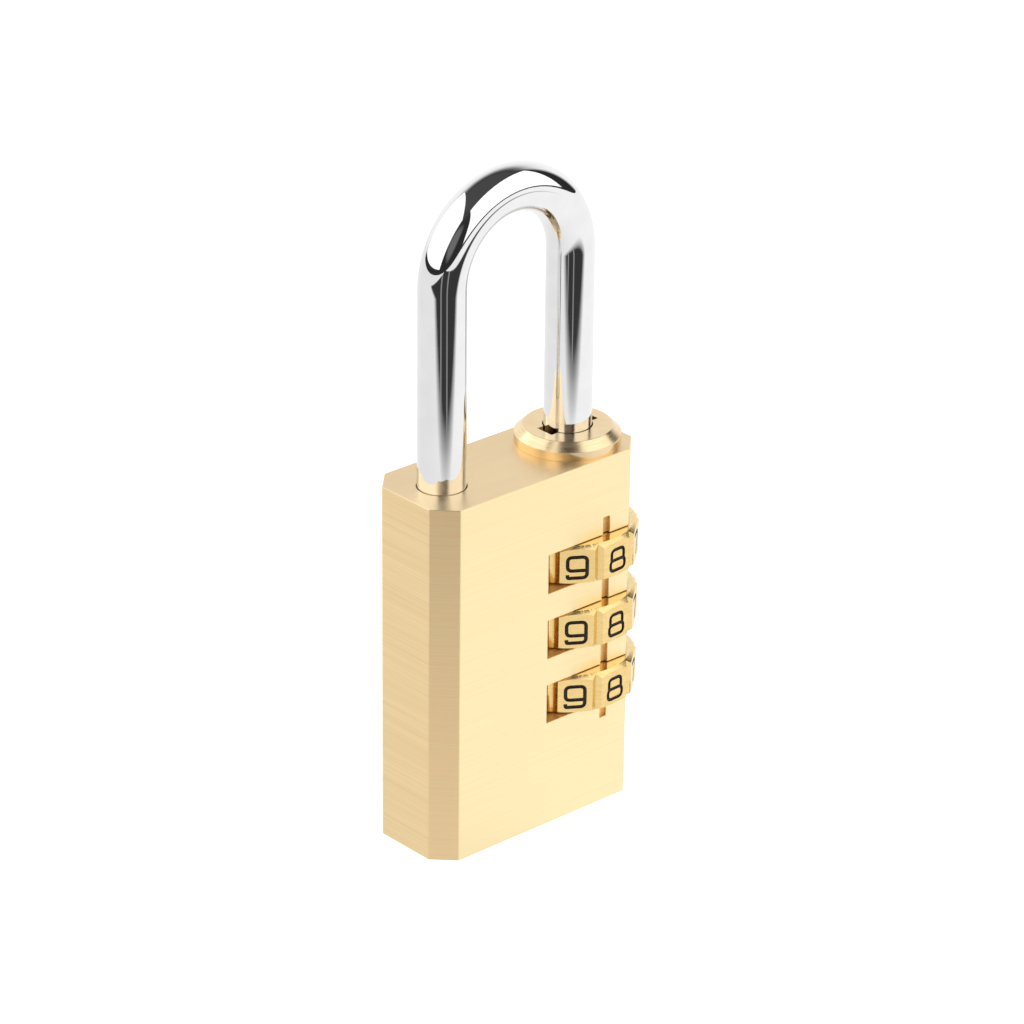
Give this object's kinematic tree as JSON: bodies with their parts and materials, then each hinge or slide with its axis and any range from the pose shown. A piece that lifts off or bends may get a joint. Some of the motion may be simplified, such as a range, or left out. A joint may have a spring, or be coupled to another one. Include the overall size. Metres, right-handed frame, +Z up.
{
  "type": "combination padlock",
  "caption": "Small brass combination padlock: chamfered solid body, flanged collar, chromed bent-rod shackle that lifts, and ten-sided number dials that turn.",
  "frame": {"origin": "centre of the body's base face, on which the lock stands", "axes": "+Z up towards the bend of the shackle, -Y out of the front face with the index groove, +X towards the dials"},
  "size_m": [0.0322, 0.0162, 0.0788],
  "materials": {
    "brushed_brass_body": "sawn bar, brushed along X, clear and unlacquered",
    "turned_brass_collar": "turned, satin",
    "milled_brass_dials": "milled flats, polished, with black-filled numbers",
    "turned_brass_sleeves": "as turned",
    "chromed_steel_shackle": "bright chrome plate on polished rod",
    "bright_steel": "bright drawn steel"
  },
  "bodies": {
    "lock": {"lock_body": "brushed_brass_body", "collar": "turned_brass_collar", "clutch_spring": "bright_steel", "detent_spring_top": "bright_steel", "detent_spring_middle": "bright_steel", "detent_spring_bottom": "bright_steel"},
    "shackle": {"shackle": "chromed_steel_shackle"},
    "dial_top": {"dial_top": "milled_brass_dials"},
    "sleeve_top": {"sleeve_top": "turned_brass_sleeves"},
    "ball_top": {"detent_ball_top": "bright_steel"},
    "dial_middle": {"dial_middle": "milled_brass_dials"},
    "sleeve_middle": {"sleeve_middle": "turned_brass_sleeves"},
    "ball_middle": {"detent_ball_middle": "bright_steel"},
    "dial_bottom": {"dial_bottom": "milled_brass_dials"},
    "sleeve_bottom": {"sleeve_bottom": "turned_brass_sleeves"},
    "ball_bottom": {"detent_ball_bottom": "bright_steel"},
    "seat": {"spring_seat": "bright_steel"}
  },
  "joints": [
    {"name": "shackle_lift", "type": "slide", "parent": "lock", "child": "shackle", "axis": [0, 0, 1], "range_m": [0, 0.00814]},
    {"name": "dial_top_turn", "type": "hinge", "parent": "lock", "child": "dial_top", "pos_m": [0.0089, 0, 0.03161], "axis": [0, 0, 1], "continuous": true},
    {"name": "dial_middle_turn", "type": "hinge", "parent": "lock", "child": "dial_middle", "pos_m": [0.0089, 0, 0.02347], "axis": [0, 0, 1], "continuous": true},
    {"name": "dial_bottom_turn", "type": "hinge", "parent": "lock", "child": "dial_bottom", "pos_m": [0.0089, 0, 0.01533], "axis": [0, 0, 1], "continuous": true},
    {"name": "sleeve_top_slide", "type": "slide", "parent": "dial_top", "child": "sleeve_top", "axis": [0, 0, -1], "range_m": [0, 0.001], "stiffness_N_per_m": 1300, "springref_m": -0.004},
    {"name": "sleeve_middle_slide", "type": "slide", "parent": "dial_middle", "child": "sleeve_middle", "axis": [0, 0, -1], "range_m": [0, 0.001]},
    {"name": "sleeve_bottom_slide", "type": "slide", "parent": "dial_bottom", "child": "sleeve_bottom", "axis": [0, 0, -1], "range_m": [0, 0.001]},
    {"name": "seat_slide", "type": "slide", "parent": "lock", "child": "seat", "axis": [0, 0, -1], "range_m": [0, 0.001], "deforming": ["clutch_spring"]},
    {"name": "ball_top_press", "type": "slide", "parent": "lock", "child": "ball_top", "axis": [-1, 0, 0], "range_m": [0, 0.0003], "stiffness_N_per_m": 3800, "springref_m": -0.0004, "deforming": ["detent_spring_top"]},
    {"name": "ball_middle_press", "type": "slide", "parent": "lock", "child": "ball_middle", "axis": [-1, 0, 0], "range_m": [0, 0.0003], "stiffness_N_per_m": 3800, "springref_m": -0.0004, "deforming": ["detent_spring_middle"]},
    {"name": "ball_bottom_press", "type": "slide", "parent": "lock", "child": "ball_bottom", "axis": [-1, 0, 0], "range_m": [0, 0.0003], "stiffness_N_per_m": 3800, "springref_m": -0.0004, "deforming": ["detent_spring_bottom"]}
  ],
  "couplings": [
    {"joint": "sleeve_middle_slide", "follows": "sleeve_top_slide", "ratio": 1},
    {"joint": "sleeve_bottom_slide", "follows": "sleeve_top_slide", "ratio": 1},
    {"joint": "seat_slide", "follows": "sleeve_top_slide", "ratio": 1}
  ]
}
